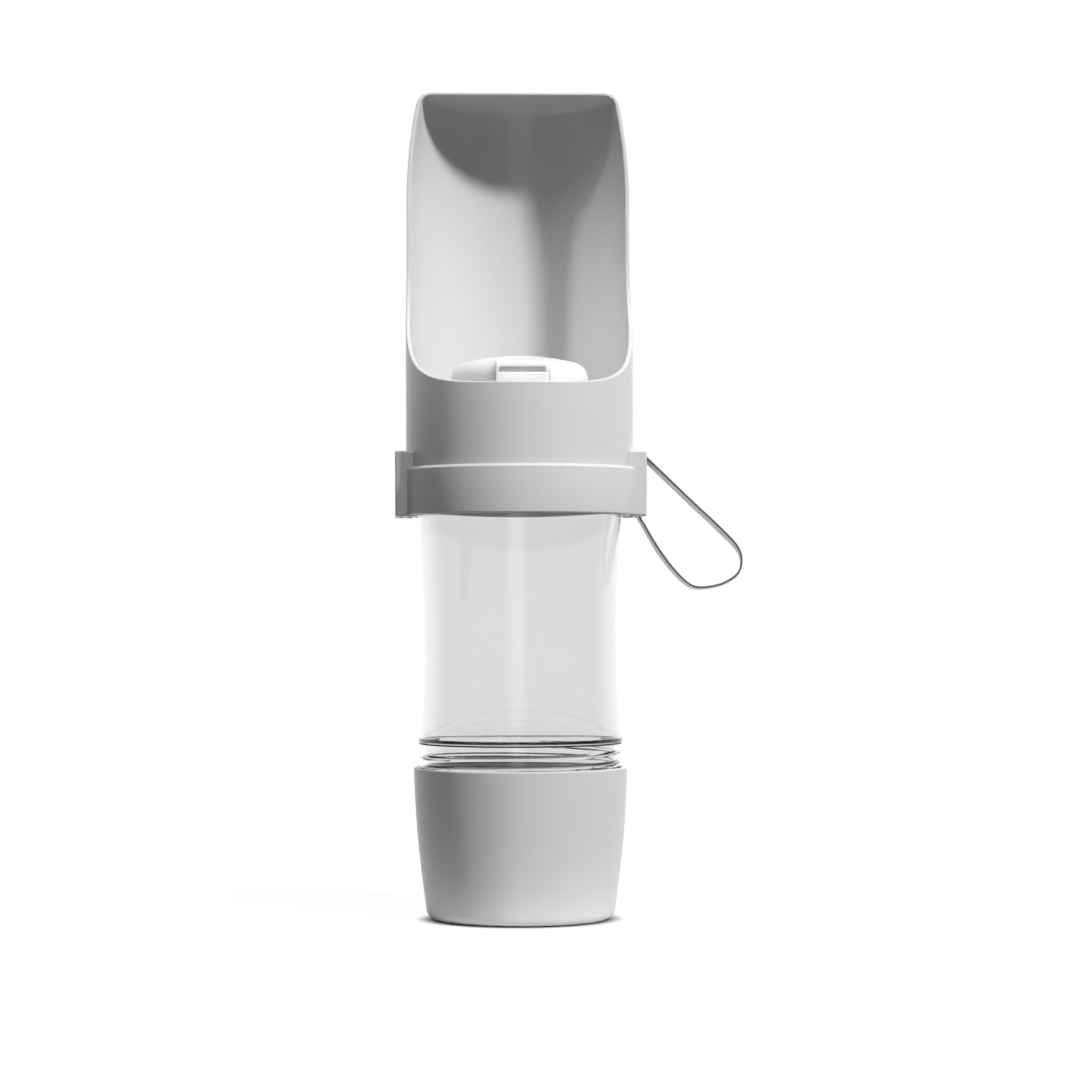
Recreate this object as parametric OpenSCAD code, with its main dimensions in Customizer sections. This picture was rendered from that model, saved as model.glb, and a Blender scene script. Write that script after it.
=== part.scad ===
// Dog travel water bottle, 256 mm tall as it stands here.
// A clear bottle carries a screw-on food cup below it. A drinking hood slides over it
// from above, and a round outlet with a slot lets the water into the hood.
// Millimetres, +Z up, origin at the middle of the cup's underside. The open side of
// the hood faces -Y and the wrist strap hangs on the +X side.

/* [Outlet] */
// Radius of the outlet dome; the necks, the bottle and the hood are built round it
dome_r = 21.2; // [20:0.1:24]
// Height of the outlet dome over the trough's floor
dome_h = 13.4; // [12.5:0.1:15]
// Radius of the dome's flat crown
dome_crown_r = 68; // [50:1:90]
// Radius of the dome's rounded edge
dome_edge_r = 5; // [3:0.1:6]
// Wall thickness of the dome
dome_wall = 1.6; // [1.2:0.1:2]
// Width of the spout block on the front of the dome
spout_w = 16; // [12:0.5:20]
// How far the spout block stands out in front of the dome
spout_out = 0.7; // [0.4:0.1:2]
// How far the spout block's top lies below the dome's crown
spout_drop = 2.9; // [2.5:0.1:4]
// Height of the outlet slot
slot_h = 1.65; // [1.2:0.05:2]
// How far the slot's upper edge lies below the spout block's top
slot_drop = 1.85; // [1.4:0.05:2.2]
// Width of the spout block beside the slot
slot_cheek = 0.65; // [0.5:0.05:2]
// Thickness of the turning valve disc
rotor_t = 1.8; // [1.4:0.1:2.4]
// Radius of the valve disc's spindle
spindle_r = 3; // [2.6:0.1:3.6]
// Width of the soft valve seat outside the water port
seat_rim = 2.5; // [1.8:0.1:3.2]

/* [Bottle] */
// Height of the clear bottle between its foot and its shoulder
bottle_h = 82.1; // [70:0.1:100]
// Width of the shoulder round the filling neck
shoulder_w = 4.7; // [4:0.1:6]
// How much narrower the bottle's foot is than its shoulder
foot_in = 0.45; // [0.3:0.05:0.8]
// How far the waist draws in from the foot
waist_in = 1.15; // [0.8:0.05:2]
// Height of the waist above the foot
waist_up = 31; // [25:1:40]
// Wall thickness of the bottle
bottle_wall = 1.4; // [1:0.1:2]
// Length of the filling neck
top_neck_h = 19.5; // [17:0.5:24]
// Length of the lower neck, which the food cup screws onto
low_neck_h = 12.4; // [11:0.1:14]
// Width of the ledge round the lower neck, which the cup's gasket lies under
low_neck_in = 1.5; // [1.2:0.05:2]
// Thickness of the floor that is welded into the lower neck
floor_t = 1.8; // [1.2:0.1:2.5]

/* [Food cup] */
// Height of the food cup
cup_h = 46.7; // [40:0.1:60]
// Radius of the long curve of the cup's side
cup_side_r = 340; // [250:10:500]
// Radius of the curve between the cup's side and its base
cup_base_r = 3; // [1.5:0.1:4]
// Wall thickness of the cup
cup_wall = 1.8; // [1.2:0.1:2.2]
// Thickness of the cup's floor
cup_floor = 2.2; // [1.6:0.1:4]
// How far the cup stands unscrewed from its gasket in the stored pose
cup_gap = 6.9; // [0.5:0.1:7.5]
// Height of the hollow under the cup, inside its foot ring
foot_recess = 0.8; // [0.4:0.1:1.2]

/* [Gaskets and seals] */
// Thickness of the cup's gasket
cup_gasket_t = 0.75; // [0.5:0.05:1.2]
// Thickness of the gasket on the filling neck
neck_gasket_t = 1.4; // [1:0.1:2]
// Height of the sliding seal between cap and hood
slide_seal_h = 2.1; // [1.5:0.1:2.5]
// Depth of the sliding seal, from its groove to the hood
slide_seal_t = 1.75; // [1.4:0.05:2]

/* [Neck cap] */
// Thickness of the cap's top plate, the floor of the drinking trough
plate_t = 2.5; // [2.2:0.1:4]
// Wall thickness of the cap's screw part
cap_wall = 1.8; // [1.2:0.1:2.2]
// Height of the cap's flange above the sliding seal
flange_web = 1.9; // [1:0.1:3]
// Number of dog teeth that turn the cap with the hood
dog_count = 4; // [3:1:6]
// Width of a dog tooth
dog_w = 5; // [3:0.5:7]
// Height of a dog tooth
dog_h = 1.6; // [1:0.1:2.4]
// Number of ribs round the cap's screw part
cap_ribs = 12; // [8:1:16]

/* [Drinking hood] */
// Wall thickness of the hood
hood_wall = 1.35; // [1.2:0.05:1.6]
// Length of the hood from its lower end to its flat top
hood_h = 128.2; // [124:0.1:140]
// Length of the hood below the top of its stop bead
hood_skirt = 9.1; // [6:0.1:12]
// Length of the tapered stretch below the hood's top
taper_h = 33.8; // [28:0.1:40]
// Radius of the long curve of that taper
taper_r = 150; // [140:5:250]
// Radius of the hood's top edge
hood_edge_r = 5; // [4:0.1:6]
// Radius inside the hood's top edge
hood_inner_edge_r = 3.4; // [2.5:0.1:5]
// Thickness of the hood's top
hood_top_t = 1; // [0.8:0.1:1.6]
// Height of the drinking lip above the hood's lower end
lip_up = 35.7; // [34:0.1:45]
// Radius of the sweep from the lip into the opening's upright sides
sweep_r = 40; // [30:1:45]
// How far the opening's upright sides lie behind the middle
opening_back = 5; // [0:0.5:8]
// How far the stop bead stands in from the hood's bore
bead_in = 1.05; // [0.8:0.05:1.3]
// Height of the stop bead
bead_h = 2; // [1.5:0.1:3]

/* [Collar and strap] */
// Wall thickness of the collar round the hood
collar_wall = 1.75; // [1.3:0.05:2.5]
// Height of the collar
collar_h = 14.6; // [12:0.1:18]
// Thickness of the ledge under the hood's end
ledge_t = 3.3; // [2:0.1:4]
// Width of a strap ear
ear_w = 24; // [20:1:28]
// Height of a strap ear above the collar's top
ear_rise = 4.9; // [4:0.1:7]
// Bevel along the ear's edges
ear_bevel = 1; // [0.4:0.1:1.4]
// Wall between the hood and the strap's slot
strap_web_t = 0.95; // [0.8:0.05:1.5]
// Thickness of the bar that the strap goes round
strap_bar_t = 1.3; // [1:0.05:2]
// Width of the strap
strap_w = 9; // [6:0.1:12]
// Thickness of the strap
strap_t = 0.6; // [0.4:0.05:0.8]

/* [Hidden] */
$fn = 96;

// Clearances
seat_gap = 0.05;
running_gap = 0.06;
screw_gap = 0.9;
slide_gap = 0.35;
stop_gap = 0.3;
vent_gap = 0.5;
bead_gap = 0.5;
cup_slide_gap = 0.75;
strap_side_gap = 0.5;
strap_face_gap = 0.25;
cut = 1;

// The vent valve, which stands between the dome and the filling neck's wall
vent_head_r = 2.3;
vent_stem_r = 1.1;
vent_barb = 0.5;
vent_in = 2;
vent_out = dome_r + vent_gap + vent_head_r;

// Radii of the bottle, from its filling neck outwards
top_neck_in = vent_out + vent_in;
top_neck_r = top_neck_in + bottle_wall;
shoulder_r = top_neck_r + shoulder_w;
foot_r = shoulder_r - foot_in;
waist_r = foot_r - waist_in;
low_neck_r = foot_r - low_neck_in;
hood_bore_r = shoulder_r + bead_gap + bead_in;
hood_r = hood_bore_r + hood_wall;
cup_r = hood_bore_r - cup_slide_gap;

// Heights of the bottle and its necks
foot_z = cup_h + cup_gap + cup_gasket_t + seat_gap;
waist_z = foot_z + waist_up;
waist_arc_r = (waist_up * waist_up + waist_in * waist_in) / (2 * waist_in);
shoulder_z = foot_z + bottle_h;
shoulder_round = 2.2;
low_neck_z = foot_z - low_neck_h;
floor_inset = 1.2;
floor_z = low_neck_z + floor_inset;
mouth_z = shoulder_z + top_neck_h;

// Heights of the cap and the outlet
plate_z = mouth_z + neck_gasket_t + 2 * seat_gap;
plate_gap = 1.45;
plate_r = hood_bore_r - plate_gap;
trough_z = plate_z + plate_t;
cap_gap = 0.5;
cap_bottom_z = shoulder_z + cap_gap;
cap_bore_r = top_neck_r + screw_gap - 0.1;
cap_screw_r = cap_bore_r + cap_wall;
flange_r = hood_bore_r - slide_gap;
bead_top_z = cap_bottom_z - stop_gap;
dog_top_z = bead_top_z + dog_h;
seal_z = dog_top_z + stop_gap + 0.8;
seal_r = hood_bore_r - seat_gap;
flange_z = seal_z + slide_seal_h + flange_web;

// The valve in the middle of the cap
rotor_r = dome_r - dome_wall - 0.1;
rotor_rim = 5.3;
seat_r = rotor_r - rotor_rim;
seat_depth = 1.4;
seat_proud = 0.25;
rotor_z = trough_z + seat_proud + seat_gap;
boss_r = spindle_r + 2.6;
port_in = spindle_r + 2.3;
port_r = (seat_r - seat_rim - port_in) / 2;
port_out = port_in + port_r;
boss_h = 2.9;
boss_z = plate_z - boss_h;
washer_t = 0.6;
washer_r = spindle_r + 1.6;
washer_z = boss_z - stop_gap - washer_t;
screw_r = 1.05;
screw_head_r = 2.6;
screw_head_h = 1;
screw_in = 5;
o_ring_t = 0.7;
o_ring_z = boss_z + 1.6;

// The dome over the valve
dome_z = trough_z + 0.35;
dome_top_z = trough_z + dome_h;
dome_ledge_z = rotor_z + rotor_t + seat_gap;
dome_ledge_w = 1.2;
dome_inner_r = dome_r - dome_wall - dome_ledge_w;
spout_front = dome_r + spout_out;
spout_top_z = dome_top_z - spout_drop;
slot_w = spout_w - 2 * slot_cheek;
slot_z = spout_top_z - slot_drop - slot_h;
slot_flare = 0.5;

// The hood and its collar
hood_z = bead_top_z - hood_skirt;
hood_top_z = hood_z + hood_h;
taper_z = hood_top_z - taper_h;
taper_mid = hood_r - taper_r;
lip_z = hood_z + lip_up;
ledge_top_z = hood_z - 0.1;
collar_z = ledge_top_z - ledge_t;
collar_top_z = collar_z + collar_h;
collar_bore_r = hood_r + seat_gap;
collar_r = collar_bore_r + collar_wall;
collar_edge = 0.8;
ledge_r = cup_r + 0.4;
ear_drop = 0.4;
ear_z = collar_z - ear_drop;
ear_top_z = collar_top_z + ear_rise;
strap_slot_w = strap_w + 2 * strap_side_gap;
strap_slot_t = strap_t + 2 * strap_face_gap;
slot_x = collar_bore_r + strap_web_t;
bar_x = slot_x + strap_slot_t;
ear_out = bar_x + strap_bar_t;
notch_z = ear_top_z - 3.2;

// Route of the strap, a closed loop: X, Z and the roll of the band about its own line
// in degrees. It goes up through the ear, over the bar and down to the loop's end.
// Its X counts from the middle of the slot, and its Z from the ear's top.
STRAP_UPPER = [
    [0, -14.7, 0], [-0.05, -10.2, 0], [0, -6.7, -1], [0.05, -4.2, -1], [0.45, -2.1, -2],
    [1.35, -1.5, -3], [2.45, -2.1, -3], [4.45, -4, -3], [7.45, -6.9, -3], [12.45, -11.7, -3],
    [17.45, -16.5, -3], [22.45, -21.1, -3], [26.45, -25, -3], [29.15, -27.7, -2],
    [30.85, -29.9, 0], [31.85, -32.1, 3], [32.05, -34.3, 5], [31.65, -36.4, 6]
];
// The way back along the lower side of the loop. Its Z counts from the ear's underside.
STRAP_LOWER = [
    [30.45, -18.3, 6], [28.45, -19.7, 5], [25.45, -21.1, 4], [21.45, -21.9, 3],
    [18.45, -22, 3], [16.05, -21.3, 2], [13.45, -19.3, 2], [9.85, -15.4, 2],
    [6.15, -10.3, 2], [3.45, -5.8, 1], [1.65, -2.6, 1], [0.15, 0.2, 0]
];

function arc(mid, r, from, to, steps = 8) =
    [for (i = [0:steps]) let (a = from + (to - from) * i / steps)
        [mid.x + r * cos(a), mid.y + r * sin(a)]];

// Points of a long shallow curve from height z0 to z1: r_mid is its radius from the
// bottle's axis at height z_mid, and a positive bend_r bulges it outwards.
function bow(r_mid, bend_r, z_mid, z0, z1, steps = 14) =
    [for (i = [0:steps]) let (z = z0 + (z1 - z0) * i / steps, side = sign(bend_r))
        [r_mid - bend_r + side * sqrt(bend_r * bend_r - (z - z_mid) * (z - z_mid)), z]];

module ring(r_in, r_out, z0, z1) {
    translate([0, 0, z0]) difference() {
        cylinder(r = r_out, h = z1 - z0);
        translate([0, 0, -cut]) cylinder(r = r_in, h = z1 - z0 + 2 * cut);
    }
}

// Radius of the cup's outer curve, whose middle lies a little above the rim
cup_mid_z = cup_h + 7.4;
cup_mid_r = cup_r + 0.08;
function cup_side(z, inset = 0) =
    cup_mid_r - cup_side_r
    + sqrt(pow(cup_side_r - inset, 2) - (z - cup_mid_z) * (z - cup_mid_z));

module food_cup() {
    bore_r = low_neck_r + screw_gap;
    base_z = cup_base_r;
    base_r = cup_side(base_z) - cup_base_r;
    screw_z = cup_h - low_neck_h - 0.1;
    pan_r = 4;
    pan_z = cup_floor + pan_r;
    pan_x = cup_side(pan_z, cup_wall) - pan_r;
    foot_ring_r = base_r - 4;
    rim_round = 0.45;
    color("gainsboro") rotate_extrude() polygon(concat(
        [[0, foot_recess], [foot_ring_r, foot_recess], [foot_ring_r + 0.6, 0]],
        arc([base_r, base_z], cup_base_r, -90, 0),
        bow(cup_mid_r, cup_side_r, cup_mid_z, base_z + 0.5, cup_h - rim_round),
        arc([cup_side(cup_h) - rim_round, cup_h - rim_round], rim_round, 15, 90, 4),
        [[bore_r, cup_h], [bore_r, screw_z]],
        bow(cup_mid_r - cup_wall, cup_side_r - cup_wall, cup_mid_z, screw_z - 0.6, pan_z, 10),
        arc([pan_x, pan_z], pan_r, 0, -90),
        [[0, cup_floor]]
    ));
}

module cup_gasket() {
    color("whitesmoke") ring(low_neck_r + 0.1, foot_r,
                             foot_z - seat_gap - cup_gasket_t, foot_z - seat_gap);
}

// Outline of the bottle's hollow, from the welded floor up to the mouth
function bottle_inside() = concat(
    [[low_neck_r - bottle_wall, floor_z - cut], [low_neck_r - bottle_wall, foot_z - 1]],
    [for (p = bow(waist_r - bottle_wall, -(waist_arc_r + bottle_wall), waist_z,
                  foot_z + 0.8, waist_z + waist_up * 1.14)) p],
    arc([shoulder_r - bottle_wall - 1.6, shoulder_z - bottle_wall - 1.6], 1.6, 0, 90, 5),
    [[top_neck_in, shoulder_z - bottle_wall]]
);

module bottle_shell() {
    color("azure", 0.4) rotate_extrude() polygon(concat(
        [[low_neck_r, low_neck_z], [low_neck_r, foot_z]],
        bow(waist_r, -waist_arc_r, waist_z, foot_z, waist_z + waist_up * 1.18),
        [[shoulder_r, waist_z + waist_up * 1.22]],
        arc([shoulder_r - shoulder_round, shoulder_z - shoulder_round], shoulder_round, 0, 90, 6),
        [[top_neck_r, shoulder_z], [top_neck_r, mouth_z], [top_neck_in, mouth_z]],
        [for (i = [len(bottle_inside()) - 1:-1:1]) bottle_inside()[i]],
        [[low_neck_r - bottle_wall, low_neck_z]]
    ));
}

module bottle_floor() {
    rim_h = 3.2;
    r = low_neck_r - bottle_wall - seat_gap;
    color("azure", 0.5) rotate_extrude() polygon([
        [0, floor_z + 0.6], [r - 4, floor_z], [r, floor_z], [r, floor_z + rim_h],
        [r - 1.2, floor_z + rim_h], [r - 1.8, floor_z + floor_t], [0, floor_z + floor_t + 0.6]
    ]);
}

module neck_gasket() {
    color("whitesmoke")
        ring(top_neck_in, top_neck_r + 0.3, mouth_z + seat_gap, mouth_z + seat_gap + neck_gasket_t);
}

module dog_teeth(r_in, r_out, width, z0, z1) {
    for (i = [0:dog_count - 1]) rotate(i * 360 / dog_count + 45) intersection() {
        ring(r_in, r_out, z0, z1);
        translate([0, -width / 2, z0 - cut]) cube([r_out + cut, width, z1 - z0 + 2 * cut]);
    }
}

module neck_cap() {
    groove_r = seal_r - slide_seal_t;
    color("whitesmoke") difference() {
        union() {
            rotate_extrude() polygon([
                [0, plate_z], [cap_bore_r, plate_z], [cap_bore_r, cap_bottom_z],
                [flange_r - 0.4, cap_bottom_z], [flange_r, cap_bottom_z + 0.4],
                [flange_r, seal_z], [groove_r - seat_gap, seal_z],
                [groove_r - seat_gap, seal_z + slide_seal_h], [flange_r, seal_z + slide_seal_h],
                [flange_r, flange_z], [cap_screw_r, flange_z], [cap_screw_r, plate_z],
                [plate_r - 0.6, plate_z], [plate_r, plate_z + 0.6], [plate_r, trough_z - 0.8],
                [plate_r - 0.8, trough_z], [seat_r + 0.1, trough_z],
                [seat_r + 0.1, trough_z - seat_depth], [0, trough_z - seat_depth]
            ]);
            for (i = [0:cap_ribs - 1]) rotate((i + 0.5) * 360 / cap_ribs)
                translate([cap_screw_r - 0.5, -0.6, flange_z - 0.2])
                    cube([plate_r - cap_screw_r - 0.2, 1.2, plate_z - flange_z + 0.4]);
            translate([0, 0, boss_z]) cylinder(r = boss_r, h = boss_h + 0.5);
        }
        translate([0, 0, boss_z - cut])
            cylinder(r = spindle_r + running_gap, h = boss_h + plate_t + 2 * cut);
        translate([0, -port_out, plate_z - cut]) cylinder(r = port_r, h = plate_t + 2 * cut);
        translate([0, vent_out, plate_z - cut])
            cylinder(r = vent_stem_r + seat_gap, h = plate_t + 2 * cut);
        dog_teeth(hood_bore_r - bead_in - stop_gap, flange_r + cut, dog_w + 2 * stop_gap,
                  cap_bottom_z - cut, dog_top_z + stop_gap);
    }
}

// A sliding seal with a lip at each edge, like a four-lobed ring
module slide_seal() {
    inner = seal_r - slide_seal_t;
    z0 = seal_z + seat_gap;
    z1 = seal_z + slide_seal_h - seat_gap;
    mid = (z0 + z1) / 2;
    dip = 0.3;
    color("dimgray") rotate_extrude() polygon([
        [inner, z0], [seal_r - 0.3, z0], [seal_r, z0 + 0.25], [seal_r, z0 + 0.55],
        [seal_r - dip, mid], [seal_r, z1 - 0.55], [seal_r, z1 - 0.25], [seal_r - 0.3, z1],
        [inner, z1]
    ]);
}

module valve_seat() {
    z0 = trough_z - seat_depth + seat_gap;
    color("gainsboro") difference() {
        ring(spindle_r + 0.3, seat_r, z0, trough_z + seat_proud);
        translate([0, -port_out, z0 - cut]) cylinder(r = port_r, h = seat_depth + 2 * cut);
    }
}

module vent_valve() {
    barb_r = vent_stem_r + vent_barb;
    color("gainsboro") translate([0, vent_out, 0]) rotate_extrude() polygon([
        [0, plate_z - 2.2], [vent_stem_r - 0.3, plate_z - 2.2], [barb_r, plate_z - seat_gap],
        [vent_stem_r, plate_z - seat_gap], [vent_stem_r, trough_z + seat_gap],
        [vent_head_r, trough_z + seat_gap], [vent_head_r - 0.1, trough_z + 0.35],
        [vent_head_r - 1.1, trough_z + 0.85], [0, trough_z + 1]
    ]);
}

module valve_rotor() {
    groove_r = spindle_r - o_ring_t;
    groove_h = 2 * o_ring_t;
    color("whitesmoke") difference() {
        union() {
            translate([0, 0, rotor_z]) cylinder(r = rotor_r, h = rotor_t);
            translate([0, 0, washer_z + washer_t]) cylinder(r = spindle_r,
                                                            h = rotor_z - washer_z - washer_t);
        }
        translate([0, -port_out, rotor_z - cut]) cylinder(r = port_r, h = rotor_t + 2 * cut);
        translate([0, 0, washer_z]) cylinder(r = screw_r + seat_gap, h = washer_t + screw_in + 0.4);
        ring(groove_r, spindle_r + cut, o_ring_z, o_ring_z + groove_h);
    }
}

module spindle_o_ring() {
    mid_r = spindle_r + running_gap / 2 - o_ring_t / 2;
    color("dimgray") translate([0, 0, o_ring_z + o_ring_t]) rotate_extrude()
        translate([mid_r, 0]) circle(r = o_ring_t / 2, $fn = 24);
}

module spindle_washer() {
    color("silver") ring(screw_r + 0.15, washer_r, washer_z, washer_z + washer_t);
}

module spindle_screw() {
    color("silver") difference() {
        union() {
            translate([0, 0, washer_z - screw_head_h])
                cylinder(r1 = screw_head_r - 0.4, r2 = screw_head_r, h = screw_head_h);
            translate([0, 0, washer_z]) cylinder(r = screw_r, h = washer_t + screw_in);
        }
        for (a = [0, 90]) rotate(a)
            translate([-1.5, -0.25, washer_z - screw_head_h - cut])
                cube([3, 0.5, 0.6 + cut]);
    }
}

// Outline of the dome from its foot to its top, for a wall inset by d
function dome_outline(d, foot) =
    let (edge = dome_edge_r - d, mid_r = dome_r - dome_edge_r,
         crown = dome_top_z - dome_crown_r,
         mid_z = crown + sqrt(pow(dome_crown_r - dome_edge_r, 2) - mid_r * mid_r),
         lean = atan2(mid_z - crown, mid_r))
    concat([[dome_r - d, foot]], arc([mid_r, mid_z], edge, 0, lean, 8),
           arc([0, crown], dome_crown_r - d, lean + 2, 90, 6));

module spout_block() {
    round_r = 0.9;
    back = 9;
    mid_y = spout_front - round_r;
    mid_z = spout_top_z - round_r;
    translate([spout_w / 2, 0, 0]) rotate([90, 0, -90]) linear_extrude(spout_w) polygon(concat(
        [[back, dome_z], [spout_front, dome_z]],
        arc([mid_y, mid_z], round_r, 0, 80, 5),
        [[back, spout_top_z + 1.2]]
    ));
}

module outlet_slot() {
    reach = spout_front - dome_inner_r + 3;
    translate([0, -spout_front - cut, slot_z]) rotate([-90, 0, 0]) mirror([0, 1, 0])
        linear_extrude(reach + cut) polygon([
            [-slot_w / 2, 0], [slot_w / 2, 0],
            [slot_w / 2 - slot_flare, slot_h], [-slot_w / 2 + slot_flare, slot_h]
        ]);
}

module outlet_dome() {
    color("white") difference() {
        union() {
            rotate_extrude() polygon(concat([[0, dome_z]], dome_outline(0, dome_z)));
            spout_block();
        }
        rotate_extrude() polygon(concat(
            [[0, dome_z - cut], [rotor_r + seat_gap, dome_z - cut],
             [rotor_r + seat_gap, dome_ledge_z], [dome_inner_r, dome_ledge_z]],
            [for (p = dome_outline(dome_wall, dome_ledge_z)) if (p.x < dome_inner_r) p]));
        outlet_slot();
    }
}

// The hood as a full round shell with its stop bead, before the opening is cut
module hood_shell() {
    edge_z = hood_top_z - hood_edge_r;
    edge_x = taper_mid + sqrt(pow(taper_r - hood_edge_r, 2) - pow(edge_z - taper_z, 2));
    edge_a = atan2(edge_z - taper_z, edge_x - taper_mid);
    roof_z = hood_top_z - hood_top_t;
    in_r = taper_r - hood_wall;
    in_z = roof_z - hood_inner_edge_r;
    in_x = taper_mid + sqrt(pow(in_r - hood_inner_edge_r, 2) - pow(in_z - taper_z, 2));
    in_a = atan2(in_z - taper_z, in_x - taper_mid);
    rotate_extrude() polygon(concat(
        [[hood_bore_r, hood_z], [hood_r, hood_z]],
        arc([taper_mid, taper_z], taper_r, 0, edge_a, 10),
        arc([edge_x, edge_z], hood_edge_r, edge_a + 8, 90, 8),
        [[0, hood_top_z], [0, roof_z]],
        arc([in_x, in_z], hood_inner_edge_r, 90, in_a + 8, 8),
        arc([taper_mid, taper_z], in_r, in_a, 0, 10),
        [[hood_bore_r, bead_top_z + 0.3], [hood_bore_r - bead_in, bead_top_z],
         [hood_bore_r - bead_in, bead_top_z - bead_h + 0.8], [hood_bore_r, bead_top_z - bead_h]]
    ));
}

// The space that is cut away in front, seen from the side: straight down the back of
// the opening, then a quarter circle that sweeps forward to the drinking lip
module opening_cutter() {
    reach = hood_r + 5;
    sweep_y = sweep_r - opening_back;
    sweep_z = lip_z + sweep_r;
    top = hood_top_z + 5;
    translate([reach, 0, 0]) rotate([90, 0, -90]) linear_extrude(2 * reach) polygon(concat(
        [[-opening_back, top]],
        arc([sweep_y, sweep_z], sweep_r, 180, 270, 24),
        [[reach + sweep_r, lip_z], [reach + sweep_r, top]]
    ));
}

module drinking_hood() {
    color("gainsboro") union() {
        difference() {
            hood_shell();
            opening_cutter();
        }
        dog_teeth(hood_bore_r - bead_in, hood_bore_r + 0.3, dog_w, bead_top_z - 0.2, dog_top_z);
    }
}

// Block of one strap ear, bevelled round its outer face and along its top
module ear_block() {
    h = ear_top_z - ear_z;
    inner = collar_bore_r - 2;
    depth = ear_out - inner;
    translate([inner, 0, ear_z]) intersection() {
        translate([0, -ear_w / 2, 0]) cube([depth, ear_w, h]);
        translate([0, ear_w / 2, 0]) rotate([90, 0, 0]) linear_extrude(ear_w) polygon([
            [0, 0], [depth, 0], [depth, h - ear_bevel], [depth - ear_bevel, h], [0, h]
        ]);
        rotate([90, 0, 90]) linear_extrude(depth) polygon([
            [-ear_w / 2, 0], [ear_w / 2, 0], [ear_w / 2, h - ear_bevel],
            [ear_w / 2 - ear_bevel, h], [-ear_w / 2 + ear_bevel, h], [-ear_w / 2, h - ear_bevel]
        ]);
    }
}

module ear_slot() {
    translate([slot_x, -strap_slot_w / 2, ear_z - cut])
        cube([strap_slot_t, strap_slot_w, ear_top_z - ear_z + 2 * cut]);
    translate([slot_x, -strap_slot_w / 2, notch_z])
        cube([ear_out - slot_x + cut, strap_slot_w, ear_top_z - notch_z + cut]);
}

module collar() {
    color("gainsboro") difference() {
        union() {
            rotate_extrude() polygon(concat(
                [[ledge_r, collar_z], [collar_r - 0.4, collar_z], [collar_r, collar_z + 0.4]],
                arc([collar_r - collar_edge, collar_top_z - collar_edge], collar_edge, 0, 90, 5),
                [[collar_bore_r - cut / 2, collar_top_z], [ledge_r, collar_top_z]]
            ));
            ear_block();
            mirror([1, 0, 0]) ear_block();
        }
        translate([0, 0, ledge_top_z]) cylinder(r = collar_bore_r, h = collar_h + ear_rise + cut);
        translate([0, 0, ear_z - cut]) cylinder(r = ledge_r, h = collar_h);
        ear_slot();
        mirror([1, 0, 0]) ear_slot();
    }
}

function strap_route() = let (x = slot_x + strap_slot_t / 2) concat(
    [for (p = STRAP_UPPER) p + [x, ear_top_z, 0]],
    [for (p = STRAP_LOWER) p + [x, ear_z, 0]]
);

// One ring of the strap's band at route point i, square to the route
function strap_ring(i) =
    let (route = strap_route(), n = len(route),
         p = route[i], q = route[(i + 1) % n], o = route[(i + n - 1) % n],
         run = [q.x - o.x, 0, q.y - o.y], t = run / norm(run), side = cross(t, [0, 1, 0]),
         w = [0, 1, 0] * cos(p.z) + side * sin(p.z), f = cross(w, t),
         a = strap_w / 2, b = strap_t / 2, c = strap_t / 4)
    [for (s = [[a, b - c], [a - c, b], [c - a, b], [-a, b - c],
               [-a, c - b], [c - a, -b], [a - c, -b], [a, c - b]])
        [p.x, 0, p.y] + w * s.x + f * s.y];

module strap() {
    n = len(strap_route());
    m = 8;
    points = [for (i = [0:n - 1]) each strap_ring(i)];
    faces = [for (i = [0:n - 1], j = [0:m - 1])
        let (a = i * m + j, b = i * m + (j + 1) % m,
             c = ((i + 1) % n) * m + (j + 1) % m, d = ((i + 1) % n) * m + j)
        each [[a, b, c], [a, c, d]]];
    color("gray") polyhedron(points, faces);
}

food_cup();
cup_gasket();
bottle_shell();
bottle_floor();
neck_gasket();
neck_cap();
slide_seal();
valve_seat();
vent_valve();
valve_rotor();
spindle_o_ring();
spindle_washer();
spindle_screw();
outlet_dome();
drinking_hood();
collar();
strap();
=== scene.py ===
# Dog travel water bottle: clear bottle, screw-on food cup, sliding drinking hood with
# its collar and wrist strap, and the turning outlet dome inside the hood.
from math import acos, atan2, cos, degrees, hypot, pi, radians, sin, sqrt

import bpy
from mathutils import Matrix, Vector


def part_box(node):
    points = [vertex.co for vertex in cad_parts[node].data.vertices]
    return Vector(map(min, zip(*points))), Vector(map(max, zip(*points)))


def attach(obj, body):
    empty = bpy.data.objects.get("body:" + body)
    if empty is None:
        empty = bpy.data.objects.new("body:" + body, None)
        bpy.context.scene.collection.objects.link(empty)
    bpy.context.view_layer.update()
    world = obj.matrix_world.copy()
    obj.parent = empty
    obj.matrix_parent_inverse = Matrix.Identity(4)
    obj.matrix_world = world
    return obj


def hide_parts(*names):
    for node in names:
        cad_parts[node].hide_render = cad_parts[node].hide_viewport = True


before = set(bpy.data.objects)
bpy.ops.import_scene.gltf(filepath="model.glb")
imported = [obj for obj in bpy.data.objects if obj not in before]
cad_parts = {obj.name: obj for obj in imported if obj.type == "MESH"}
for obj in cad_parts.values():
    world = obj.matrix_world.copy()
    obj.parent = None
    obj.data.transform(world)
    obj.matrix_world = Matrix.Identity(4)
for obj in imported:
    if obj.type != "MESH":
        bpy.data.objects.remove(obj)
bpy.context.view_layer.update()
MM = 0.001


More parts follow.
